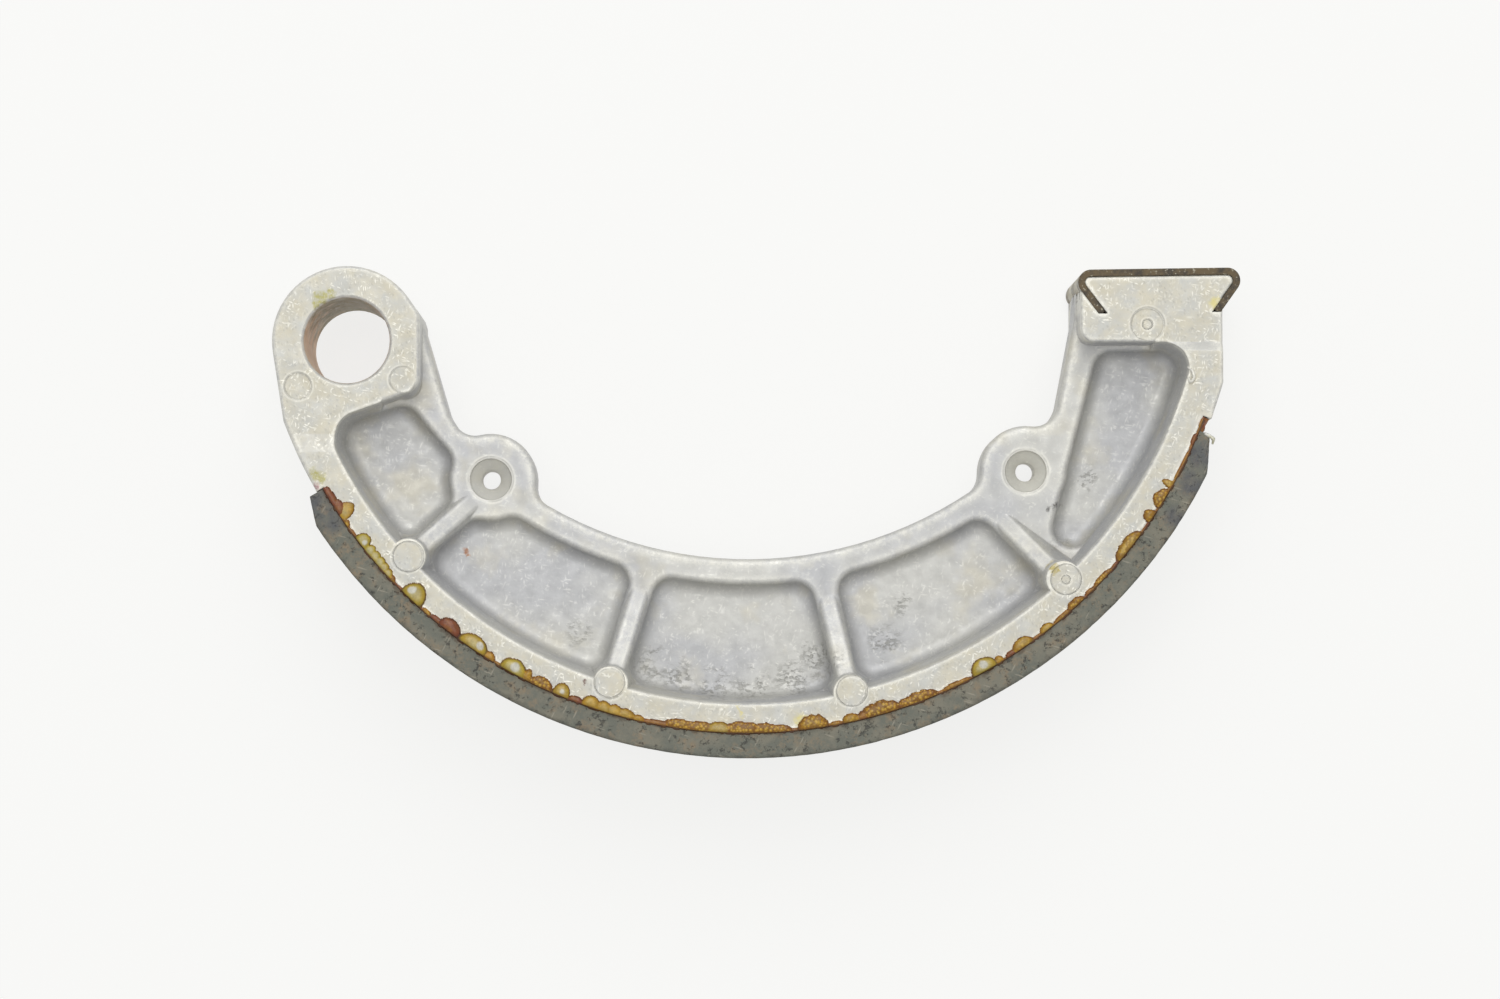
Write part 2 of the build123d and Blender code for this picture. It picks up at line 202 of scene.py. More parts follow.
def addWorld():
    world = bpy.data.worlds.new("paleStudio")
    world.use_nodes = True
    tree = world.node_tree
    tree.nodes.clear()
    output = tree.nodes.new("ShaderNodeOutputWorld")
    light = {"Color": studio["worldLight"], "Strength": studio["worldStrength"]}
    white = {"Color": studio["backdrop"], "Strength": 1.0}
    mix = addNode(tree, "MixShader", {0: seenDirectly(tree)})
    tree.links.new(addNode(tree, "Background", light).outputs[0], mix.inputs[1])
    tree.links.new(addNode(tree, "Background", white).outputs[0], mix.inputs[2])
    tree.links.new(mix.outputs[0], output.inputs["Surface"])
    bpy.context.scene.world = world


def newMaterial(name):
    material = bpy.data.materials.new(name)
    material.use_nodes = True
    return material, material.node_tree, material.node_tree.nodes["Principled BSDF"]


def addFloor():
    half = studio["floorSize"] / 2
    centre = (cadLow + cadHigh) / 2
    corners = [(-1, -1), (1, -1), (1, 1), (-1, 1)]
    mesh = bpy.data.meshes.new("paleFloor")
    level = cadLow.z - studio["floorGap"] * mm
    spots = [(centre.x + x * half, centre.y + y * half, level) for x, y in corners]
    mesh.from_pydata(spots, [], [(0, 1, 2, 3)])
    floor = bpy.data.objects.new("paleFloor", mesh)
    bpy.context.scene.collection.objects.link(floor)
    material, tree, paper = newMaterial("palePaper")
    tree.nodes.remove(paper)
    matt = addNode(tree, "BsdfDiffuse", {"Color": studio["floorColour"]})
    glow = addNode(tree, "Emission", {"Color": studio["backdrop"], "Strength": 1.0})
    share = maths(tree, "MULTIPLY", seenDirectly(tree), studio["floorGlow"])
    mix = addNode(tree, "MixShader", {0: share, 1: matt.outputs[0], 2: glow.outputs[0]})
    tree.links.new(mix.outputs[0], tree.nodes["Material Output"].inputs["Surface"])
    mesh.materials.append(material)


def addLamp(name, lamp):
    light = bpy.data.lights.new(name, "AREA")
    light.shape = "SQUARE"
    light.size = lamp["size"]
    light.energy = lamp["power"]
    holder = bpy.data.objects.new(name, light)
    centre = (cadLow + cadHigh) / 2
    holder.location = centre + Vector(lamp["at"])
    holder.rotation_euler = (centre - holder.location).to_track_quat("-Z", "Y").to_euler()
    bpy.context.scene.collection.objects.link(holder)


addCamera()
addWorld()
addFloor()
addLamp("farLamp", studio["farLamp"])
addLamp("overLamp", studio["overLamp"])
bpy.context.scene.view_settings.view_transform = "Standard"
print("camera, floor and light are set")


castAluminium = {
    "pale": (0.565, 0.56, 0.53, 1.0),
    "cool": (0.485, 0.487, 0.492, 1.0),
    "warm": (0.60, 0.565, 0.46, 1.0),
    "ground": (0.55, 0.547, 0.51, 1.0),
    # worn: pale cream for scratches and crystals painted as glints, also laid as painted highlight on edges
    # and circle rims and as painted light in the spring holes' countersinks
    "worn": (0.93, 0.91, 0.82, 1.0),
    "grimeAndShade": (0.25, 0.245, 0.22, 1.0),
    "hollowGrimeAndShade": (0.33, 0.29, 0.20, 1.0),
    "bore": (0.86, 0.59, 0.36, 1.0),
    "boreTopDirtAndShade": (0.19, 0.155, 0.04, 1.0),
    "metal": 0.35,
    # how strongly each tint covers: on the skin, and on the near and far faces where there are two values
    "shares": {
        "straw": 0.6, "flecks": (0.20, 0.62), "pits": (0.05, 0.22), "springHoles": 0.45, "hollows": 0.16,
        "edges": (0.60, 0.75), "pores": 0.62, "circles": 0.33, "circleRimHighlights": 0.30, "bore": 0.9, "marks": 0.85,
    },
    # noise: scale, detail, roughness, then the two values that give 0 and 1, or two further values
    "patterns": {
        "cool": (62.0, 2.0, 0.5, 0.42, 0.60),
        "straw": (105.0, 3.0, 0.55, 0.53, 0.68),
        "faces": (260.0, 5.0, 0.65, 0.36, 0.64),
        "flecks": (380.0, 3.0, 0.5, 0.42, 0.60, 0.25, 1.0),
        "hollows": (330.0, 5.0, 0.5, 0.36, 0.62),
        "edges": (800.0, 5.0, 0.7, 0.38, 0.56, 0.25, 1.0),
        "porous": (300.0, 3.0, 0.5, 0.38, 0.52),
        "circles": (420.0, 3.0, 0.5, 0.36, 0.52, 0.25, 1.0),
        "bore": (260.0, 5.0, 0.7, 0.3, 0.7, -0.003, 0.003),
        "marks": (1300.0, 4.0, 0.7, 0.34, 0.56, 0.25, 1.0),
        "roughness": (400.0, 4.0, 0.6, 0.3, 0.7, 0.40, 0.60),
    },
    # the same for noise drawn out along the shoe
    "streaks": {
        "fine": (330.0, 4.0, 0.6, 0.32, 0.68, 0.94, 1.04),
        "pores": (1050.0, 4.0, 0.65, 0.49, 0.58),
    },
    # heights over the mid plane: where the faces begin, the flange's top, and where pockets end
    "faceHeights": (13.3, 13.7),
    "flangeHeights": (4.5, 5.4),
    "pocketHeights": (12.5, 11.5),
    # how far hollows and edges reach, and how open a place is where their tints begin and are whole
    "hollowReach": 5.0,
    "hollowOpen": (0.78, 0.35),
    "edgeReaches": (2.6, 1.0),
    "edgeOpen": (0.94, 0.74),
    "edgeRound": 0.5,
    # where the bore's tints begin and are whole: distance from its axis, and place up its top
    "boreRadii": (7.7, 7.55),
    "boreUpper": (0.5, 6.2),
    # the ragged shift of marks and porous places, and the share of its radius where each is whole
    "ragged": {"Scale": 900.0, "Detail": 3.0},
    "raggedShift": 2.2,
    "whole": {"springHoles": 0.92, "porous": 0.35, "marks": 0.45},
    # bump: depth in millimetres, then how much the skin, its rasp, its pores and its flecks stand out
    "bumpDepth": 0.10,
    "bumps": {"skin": 0.9, "rasp": (0.12, 0.6), "pores": -0.9, "circles": 0.8, "flecks": 0.45},
    # flecks: direction in degrees, length and width in millimetres, and how many of the cells shine
    "flecks": (
        (22.0, 0.95, 0.34, 0.20), (-48.0, 0.80, 0.36, 0.20), (86.0, 1.10, 0.33, 0.16),
        (5.0, 2.1, 0.34, 0.05), (-67.0, 1.9, 0.33, 0.05),
    ),
    "pits": (60.0, 0.70, 0.42, 0.24),
    # colour, then each mark's place and radius
    "marks": (
        ((0.40, 0.37, 0.10, 1.0), (
            (-4.6, 7.6, 1.6), (-2.8, 8.2, 1.1), (-5.5, 6.4, 1.0), (-5.3, -23.6, 1.4), (-4.2, -24.2, 1.0),
            (151.3, -17.6, 1.2),
        )),
        ((0.36, 0.13, 0.035, 1.0), ((20.4, -36.5, 0.75), (20.9, -37.1, 0.5), (149.5, -14.4, 0.9))),
        ((0.12, 0.05, 0.035, 1.0), ((41.8, -59.8, 0.5), (41.5, -60.2, 0.35))),
        ((0.07, 0.065, 0.06, 1.0), ((125.2, -28.4, 0.75), (124.3, -28.7, 0.6), (123.3, -28.9, 0.6))),
        ((0.42, 0.33, 0.05, 1.0), ((123.3, -39.4, 1.1), (123.9, -40.3, 0.8))),
        ((0.70, 0.62, 0.25, 1.0), (
            (68.4, -64.3, 0.45), (68.8, -65.0, 0.45), (69.2, -65.7, 0.4), (152.3, 6.6, 1.6),
            (79.5, -66.2, 1.5),
        )),
        ((0.42, 0.20, 0.22, 1.0), ((-5.2, -25.8, 0.8), (-4.3, -26.3, 0.6))),
    ),
    # circles left by ejector pins, and round the spring holes: place and radius
    "circles": (
        (10.8, -37.9, 2.6), (46.05, -60.0, 2.6), (88.15, -61.3, 2.6), (125.7, -41.85, 2.6),
        (125.7, -41.9, 0.7), (-8.5, -8.0, 2.35), (9.8, -6.9, 2.3), (140.2, 3.0, 2.9), (140.2, 3.0, 0.85),
        (24.9, -23.9, 3.95), (119.36, -22.44, 3.95),
    ),
    # how far outside its circle each line lies, and its width
    "circleShadeLine": (0.0, 0.22),
    "circleRimHighlight": (0.32, 0.24),
    "springHoles": ((24.9, -23.9, 4.3), (119.36, -22.44, 4.3)),
    # where the skin of the casting is porous: place and radius
    "porous": (
        (53.5, -56.5, 4.5), (58.0, -59.0, 4.0), (64.0, -60.4, 4.6), (71.0, -60.6, 4.6), (78.0, -59.4, 4.6),
        (83.0, -55.8, 5.0), (94.5, -53.0, 4.2), (97.5, -46.0, 2.6), (130.1, -23.5, 3.0), (125.6, -35.3, 2.5),
        (40.5, -51.0, 3.0),
    ),
}


# how near a place is to a spot, seen from above
def nearSpot(tree, flat, spot, soft):
    x, y, radius = spot
    return spread(tree, distance(tree, flat, (x, y)), radius * mm, radius * mm * soft)


def nearAny(tree, flat, spots, soft):
    found = 0.0
    for spot in spots:
        found = maths(tree, "MAXIMUM", found, nearSpot(tree, flat, spot, soft))
    return found


# a thin line along each circle, so far outside or inside it
def onCircles(tree, flat, circles, beside, width):
    found = 0.0
    for x, y, radius in circles:
        gap = maths(tree, "SUBTRACT", distance(tree, flat, (x, y)), (radius + beside) * mm)
        line = spread(tree, maths(tree, "ABSOLUTE", gap), width * mm, width * 0.35 * mm)
        found = maths(tree, "MAXIMUM", found, line)
    return found


# long cells that shine here and there, as crystals and scratches do
def flecks(tree, place, degrees, long, thin, share):
    turn = {"Vector": place, "Rotation": (0, 0, math.radians(degrees))}
    turned = addNode(tree, "Mapping", turn).outputs[0]
    fitted = vectors(tree, "MULTIPLY", turned, (1 / (long * mm), 1 / (thin * mm), 1 / (long * mm)))
    cells = addNode(tree, "TexVoronoi", {"Vector": fitted, "Scale": 1.0})
    chance = addNode(tree, "SeparateXYZ", {0: cells.outputs["Color"]}).outputs[0]
    chosen = spread(tree, chance, 1 - share, 1.005 - share)
    return times(tree, chosen, spread(tree, cells.outputs["Distance"], 0.50, 0.22))


def makeCastAluminium():
    material, tree, shader = newMaterial("castAluminium")
    settings = castAluminium
    shares = settings["shares"]
    place = addNode(tree, "TexCoord").outputs["Object"]
    noises = patterns(tree, place, settings["patterns"])
    normal = addNode(tree, "SeparateXYZ", {0: addNode(tree, "NewGeometry").outputs["True Normal"]})
    upward = spread(tree, normal.outputs[2], 0.3, 0.7)
    level = spread(tree, maths(tree, "ABSOLUTE", normal.outputs[2]), 0.90, 0.99)
    parts = addNode(tree, "SeparateXYZ", {0: place})
    height = maths(tree, "ABSOLUTE", parts.outputs[2])
    face = times(tree, band(tree, height, settings["faceHeights"]), level)

    # one value on the skin, and another on the faces
    def onSkinAndFaces(values):
        return spread(tree, face, 0.0, 1.0, *values)

    # places seen from above, with and without a ragged shift
    fromAbove = vectors(tree, "MULTIPLY", place, (1.0, 1.0, 0.0))
    ragged = addNode(tree, "TexNoise", {"Vector": place, **settings["ragged"]}).outputs["Color"]
    shift = vectors(tree, "SUBTRACT", ragged, (0.5, 0.5, 0.5))
    reach = settings["raggedShift"] * mm
    shifted = vectors(tree, "ADD", fromAbove, vectors(tree, "MULTIPLY", shift, (reach, reach, 0.0)))
    streaks = patterns(tree, vectors(tree, "MULTIPLY", place, (1.0, 1.5, 1.0)), settings["streaks"])
    holes = nearAny(tree, fromAbove, settings["springHoles"], settings["whole"]["springHoles"])

    # the casting's skin: pale grey that drifts to blue grey and to straw
    colour = blend(tree, noises["cool"], settings["pale"], settings["cool"])
    colour = tinted(tree, colour, settings["warm"], noises["straw"], shares["straw"])
    colour = vectors(tree, "MULTIPLY", colour, streaks["fine"])

    # the near and far faces: straw and grey patches full of bright flecks and dark pits; the bright flecks
    # are scratches and crystals, painted pale as glints
    patches = blend(tree, noises["faces"], settings["ground"], settings["warm"])
    colour = tinted(tree, colour, patches, face)
    bright = 0.0
    for fleck in settings["flecks"]:
        bright = maths(tree, "MAXIMUM", bright, flecks(tree, place, *fleck))
    bright = times(tree, bright, noises["flecks"])
    colour = tinted(tree, colour, settings["worn"], bright, onSkinAndFaces(shares["flecks"]))
    pits = flecks(tree, place, *settings["pits"])
    colour = tinted(tree, colour, settings["grimeAndShade"], pits, onSkinAndFaces(shares["pits"]))
    # painted light: the countersinks round the spring holes are tinted pale, so that the steep cones do not
    # lie dark in their own shade
    colour = tinted(tree, colour, settings["worn"], holes, shares["springHoles"])

    # hollows darken where the occlusion mask closes in, grime and painted shade together; convex edges get a
    # painted highlight
    openness = {"Distance": settings["hollowReach"] * mm}
    openness = addNode(tree, "AmbientOcclusion", openness, samples=6, only_local=True).outputs["AO"]
    hollowGrimeAndShade = times(tree, spread(tree, openness, *settings["hollowOpen"]), noises["hollows"])
    hollowGrimeAndShade = times(tree, hollowGrimeAndShade, maths(tree, "SUBTRACT", 1.0, holes))
    colour = tinted(tree, colour, settings["hollowGrimeAndShade"], hollowGrimeAndShade, shares["hollows"])
    inward = {"Distance": onSkinAndFaces([reach * mm for reach in settings["edgeReaches"]])}
    inward = addNode(tree, "AmbientOcclusion", inward, samples=8, inside=True, only_local=True).outputs["AO"]
    edge = spread(tree, inward, *settings["edgeOpen"])
    edge = times(tree, edge, band(tree, height, settings["flangeHeights"]))
    awayFromHoles = maths(tree, "SUBTRACT", 1.0, times(tree, holes, 0.6))
    edge = times(tree, edge, noises["edges"], awayFromHoles)
    # painted highlight: the pale tint along convex edges stands in for light caught by their rounds
    colour = tinted(tree, colour, settings["worn"], edge, onSkinAndFaces(shares["edges"]))

    # pores in the skin, thick in some places
    thick = nearAny(tree, shifted, settings["porous"], settings["whole"]["porous"])
    thick = times(tree, thick, band(tree, height, settings["pocketHeights"]), noises["porous"])
    pores = times(tree, streaks["pores"], thick)
    colour = tinted(tree, colour, settings["grimeAndShade"], pores, shares["pores"])

    # circles left by ejector pins: a dark line, painted shade in the seam at the step, and a bright one just
    # outside it, painted highlight on the step's edge
    line = onCircles(tree, fromAbove, settings["circles"], *settings["circleShadeLine"])
    dark = times(tree, line, level, noises["circles"])
    colour = tinted(tree, colour, settings["grimeAndShade"], dark, shares["circles"])
    line = onCircles(tree, fromAbove, settings["circles"], *settings["circleRimHighlight"])
    light = times(tree, line, level, noises["circles"])
    colour = tinted(tree, colour, settings["worn"], light, shares["circleRimHighlights"])

    # the anchor bore has rubbed brown; at its top it is greener with dirt and darker with painted shade,
    # where its wall faces down away from the light
    fromBore = addNode(tree, "VectorMath", {0: fromAbove}, operation="LENGTH").outputs["Value"]
    inBore = band(tree, fromBore, settings["boreRadii"])
    inBore = times(tree, inBore, band(tree, height, settings["faceHeights"][::-1]))
    upper = band(tree, maths(tree, "ADD", parts.outputs[1], noises["bore"]), settings["boreUpper"])
    brown = blend(tree, upper, settings["bore"], settings["boreTopDirtAndShade"])
    colour = tinted(tree, colour, brown, inBore, shares["bore"])

    for tint, spots in settings["marks"]:
        here = nearAny(tree, shifted, spots, settings["whole"]["marks"])
        colour = tinted(tree, colour, tint, here, noises["marks"], upward, shares["marks"])

    tree.links.new(colour, shader.inputs["Base Color"])
    shader.inputs["Metallic"].default_value = settings["metal"]
    rough = maths(tree, "SUBTRACT", noises["roughness"], times(tree, bright, 0.12))
    tree.links.new(rough, shader.inputs["Roughness"])

    bumps = settings["bumps"]
    skin = times(tree, grain(tree, place, 420.0, 4.0, 0.6), bumps["skin"])
    rasp = times(tree, grain(tree, place, 1500.0, 4.0, 0.7), onSkinAndFaces(bumps["rasp"]))
    sunk = maths(tree, "ADD", pores, times(tree, dark, bumps["circles"]))
    for more in (rasp, times(tree, sunk, bumps["pores"]), times(tree, bright, face, bumps["flecks"])):
        skin = maths(tree, "ADD", skin, more)
    addBump(tree, shader, skin, 0.6, settings["bumpDepth"], Normal=softEdges(tree, settings["edgeRound"]))
    return material


# the clip's spring steel
springSteel = {
    "dark": (0.040, 0.032, 0.022, 1.0),
    "brown": (0.135, 0.10, 0.055, 1.0),
    "specks": (0.42, 0.39, 0.30, 1.0),
    "rubbed": (0.50, 0.465, 0.37, 1.0),
    "metal": 0.5,
    # noise, as for the casting
    "patterns": {
        "patches": (520.0, 5.0, 0.65, 0.40, 0.60),
        "rubbed": (150.0, 4.0, 0.6, 0.36, 0.58, 0.25, 0.95),
        "specks": (1500.0, 3.0, 0.6, 0.60, 0.66),
    },
    "speckShare": 0.75,
    "roughness": (0.36, 0.62),
    "bumpDepth": 0.08,
    "edgeRound": 0.25,
}


def makeSpringSteel():
    material, tree, shader = newMaterial("springSteel")
    settings = springSteel
    place = addNode(tree, "TexCoord").outputs["Object"]
    noises = patterns(tree, place, settings["patterns"])
    colour = blend(tree, noises["patches"], settings["dark"], settings["brown"])
    # the broad faces have rubbed paler than the sheared edges
    normal = addNode(tree, "SeparateXYZ", {0: addNode(tree, "NewGeometry").outputs["True Normal"]})
    broad = spread(tree, maths(tree, "ABSOLUTE", normal.outputs[2]), 0.6, 0.3)
    colour = tinted(tree, colour, settings["rubbed"], broad, noises["rubbed"])
    colour = tinted(tree, colour, settings["specks"], noises["specks"], settings["speckShare"])
    tree.links.new(colour, shader.inputs["Base Color"])
    shader.inputs["Metallic"].default_value = settings["metal"]
    rough = spread(tree, noises["patches"], 0.0, 1.0, *settings["roughness"])
    tree.links.new(rough, shader.inputs["Roughness"])
    lumps = grain(tree, place, 1500.0, 5.0, 0.7)
    addBump(tree, shader, lumps, 0.6, settings["bumpDepth"], Normal=softEdges(tree, settings["edgeRound"]))
    return material


def dress(node, material):
    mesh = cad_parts[node].data
    mesh.materials.clear()
    mesh.materials.append(material)


castMaterial = makeCastAluminium()
dress("shoe_casting", castMaterial)
dress("cam_face_clip", makeSpringSteel())
print("casting and clip are dressed")


def addPiece(name, mesh, material, replaced=None):
    piece = bpy.data.objects.new(name, mesh)
    bpy.context.scene.collection.objects.link(piece)
    mesh.materials.append(material)
    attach(piece, "root")
    if replaced:
        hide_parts(replaced)
    return piece


# the outside of a lattice of places as a closed block: lists of values along, across and up
def latticeFaces(spots, faces, alongs, acrosses, ups, place):
    numbers = {}
    lasts = (len(alongs) - 1, len(acrosses) - 1, len(ups) - 1)

    def corner(spot):
        if spot not in numbers:
            numbers[spot] = len(spots)
            i, j, k = spot
            spots.append(place(alongs[i], acrosses[j], ups[k]))
        return numbers[spot]

    # the two sides across each axis, square by square
    for first, second, across in ((0, 1, 2), (0, 2, 1), (1, 2, 0)):
        for p in range(lasts[first]):
            for q in range(lasts[second]):
                for side in (0, lasts[across]):
                    square = []
                    for moveP, moveQ in ((0, 0), (1, 0), (1, 1), (0, 1)):
                        spot = [0, 0, 0]
                        spot[first], spot[second], spot[across] = p + moveP, q + moveQ, side
                        square.append(corner(tuple(spot)))
                    faces.append(tuple(square))


def steps(low, high, count):
    return [low + (high - low) * index / count for index in range(count + 1)]


def finishMesh(mesh, sharpDegrees):
    work = bmesh.new()
    work.from_mesh(mesh)
    bmesh.ops.recalc_face_normals(work, faces=work.faces)
    work.to_mesh(mesh)
    work.free()
    mesh.shade_smooth()
    mesh.set_sharp_from_angle(angle=math.radians(sharpDegrees))


frictionLining = {
    "start": -59.8,
    "end": 67.5,
    "startChamfer": (5.0, 1.7),  # length along the arc and depth
    "endChamfer": (6.4, 2.4),
    "steps": 560,
    "edgeRound": 0.22,
    "edgeChips": 0.42,
    "faceGrain": 0.035,
    "faceDips": 0.05,
    "sideDips": 0.06,
    "grey": (0.27, 0.255, 0.20, 1.0),
    "green": (0.185, 0.19, 0.155, 1.0),
    "brown": (0.34, 0.26, 0.17, 1.0),
    "dark": (0.050, 0.050, 0.048, 1.0),
    "fibre": (0.46, 0.42, 0.33, 1.0),
    "bondSide": (0.08, 0.045, 0.025, 1.0),
    "slate": (0.105, 0.11, 0.125, 1.0),
    "slateSpots": (
        (-4.5, -29.0, 3.6), (-2.5, -31.5, 3.0), (149.5, -20.0, 3.6), (147.5, -25.0, 3.0), (145.0, -31.0, 2.6),
    ),
    "slateWhole": 0.4,
    # radii between which the rim darkens, and those between which the lining darkens beside the bond
    "rimRadii": (89.1, 89.9),
    "bondSideRadii": (86.1, 85.6),
    # noise, as for the casting
    "patterns": {
        "broad": (190.0, 5.0, 0.65, 0.42, 0.58),
        "rust": (420.0, 5.0, 0.7, 0.52, 0.68),
        "pits": (900.0, 5.0, 0.75, 0.57, 0.66),
        "ragged": (500.0, 4.0, 0.5, 0.3, 0.7, -0.0007, 0.0007),
        "slate": (350.0, 4.0, 0.5, 0.38, 0.55, 0.25, 0.75),
    },
    "shares": {"rust": 0.8, "pits": 0.75, "hairs": 0.6, "rim": 0.35, "bondSide": 0.5},
    "hairs": ((17.0, 2.4, 0.30, 0.05), (-63.0, 2.0, 0.32, 0.04)),
    "roughness": (0.72, 0.88),
    "bumpDepth": 0.18,
}


# the outer radius left by the chamfers at the two ends
def liningOutside(degrees):
    radius = shoe["drumRadius"]
    settings = frictionLining
    for end, way, key in ((settings["start"], 1, "startChamfer"), (settings["end"], -1, "endChamfer")):
        length, depth = settings[key]
        run = way * math.radians(degrees - end) * radius
        radius -= depth * max(0.0, 1 - run / length)
    return radius


def liningPlace(degrees, share, height):
    settings = frictionLining
    outside = liningOutside(degrees)
    inside = shoe["liningInside"]
    radius = inside + share * (outside - inside)
    along = math.radians(degrees) * shoe["drumRadius"]
    half = shoe["halfWidth"]
    side = 1 if height > 0 else -1
    fromFace = half - abs(height)
    fromOutside = outside - radius
    chips = 0.5 * wander(along, 0, side * 30, 2.6, 1) + 0.7 * wander(along, 0, side * 30, 0.8, 2)
    worn = settings["edgeRound"] + settings["edgeChips"] * max(0.0, chips)
    if fromFace < worn and fromOutside < worn:
        radius -= (worn - fromFace) * 0.6
        height -= side * (worn - fromOutside) * 0.6
    lumps = settings["faceGrain"] * (1 + wander(along, radius, height, 1.6, 3))
    if share == 1:
        radius -= lumps + settings["faceDips"] * max(0.0, wander(along, 0, height, 5.0, 4))
    if abs(height) > half - 0.01:
        height -= side * (lumps + settings["sideDips"] * max(0.0, wander(along, radius, side, 3.0, 5)))
    return onShoe(degrees, radius, height)


def makeLiningMaterial():
    material, tree, shader = newMaterial("frictionLining")
    settings = frictionLining
    shares = settings["shares"]
    place = addNode(tree, "TexCoord").outputs["Object"]
    noises = patterns(tree, place, settings["patterns"])
    colour = blend(tree, noises["broad"], settings["green"], settings["grey"])
    colour = tinted(tree, colour, settings["brown"], noises["rust"], shares["rust"])
    colour = tinted(tree, colour, settings["dark"], noises["pits"], shares["pits"])
    first, second = (flecks(tree, place, *hair) for hair in settings["hairs"])
    colour = tinted(tree, colour, settings["fibre"], maths(tree, "MAXIMUM", first, second), shares["hairs"])
    # darker towards the rubbing face, and darker beside the bond
    parts = addNode(tree, "SeparateXYZ", {0: place})
    flat = addNode(tree, "CombineXYZ", {0: parts.outputs[0], 1: parts.outputs[1]}).outputs[0]
    radius = maths(tree, "ADD", distance(tree, flat, shoe["drumAxis"]), noises["ragged"])
    rim = band(tree, radius, settings["rimRadii"])
    colour = tinted(tree, colour, settings["dark"], rim, shares["rim"])
    bondSide = band(tree, radius, settings["bondSideRadii"])
    colour = tinted(tree, colour, settings["bondSide"], bondSide, shares["bondSide"])
    slate = nearAny(tree, flat, settings["slateSpots"], settings["slateWhole"])
    colour = tinted(tree, colour, settings["slate"], slate, noises["slate"])
    tree.links.new(colour, shader.inputs["Base Color"])
    rough = spread(tree, noises["broad"], 0.0, 1.0, *settings["roughness"])
    tree.links.new(rough, shader.inputs["Roughness"])
    height = maths(tree, "SUBTRACT", grain(tree, place, 1200.0, 6.0, 0.8), times(tree, noises["pits"], 0.8))
    addBump(tree, shader, height, 0.8, settings["bumpDepth"])
    return material


def addLining():
    settings = frictionLining
    spots, faces = [], []
    angles = steps(settings["start"], settings["end"], settings["steps"])
    shares = [0, 0.15, 0.3, 0.45, 0.6, 0.75, 0.87, 0.94, 0.98, 1]
    half = shoe["halfWidth"]
    up = [half, half - 0.1, half - 0.25, half - 0.5] + steps(half - 1.2, 0, 9)[:-1]
    heights = [-value for value in up] + [0.0] + up[::-1]
    latticeFaces(spots, faces, angles, shares, heights, liningPlace)
    mesh = bpy.data.meshes.new("frictionLining")
    mesh.from_pydata(spots, [], faces)
    finishMesh(mesh, 50)
    addPiece("frictionLining", mesh, makeLiningMaterial(), "brake_lining")


addLining()
print("friction lining is made")


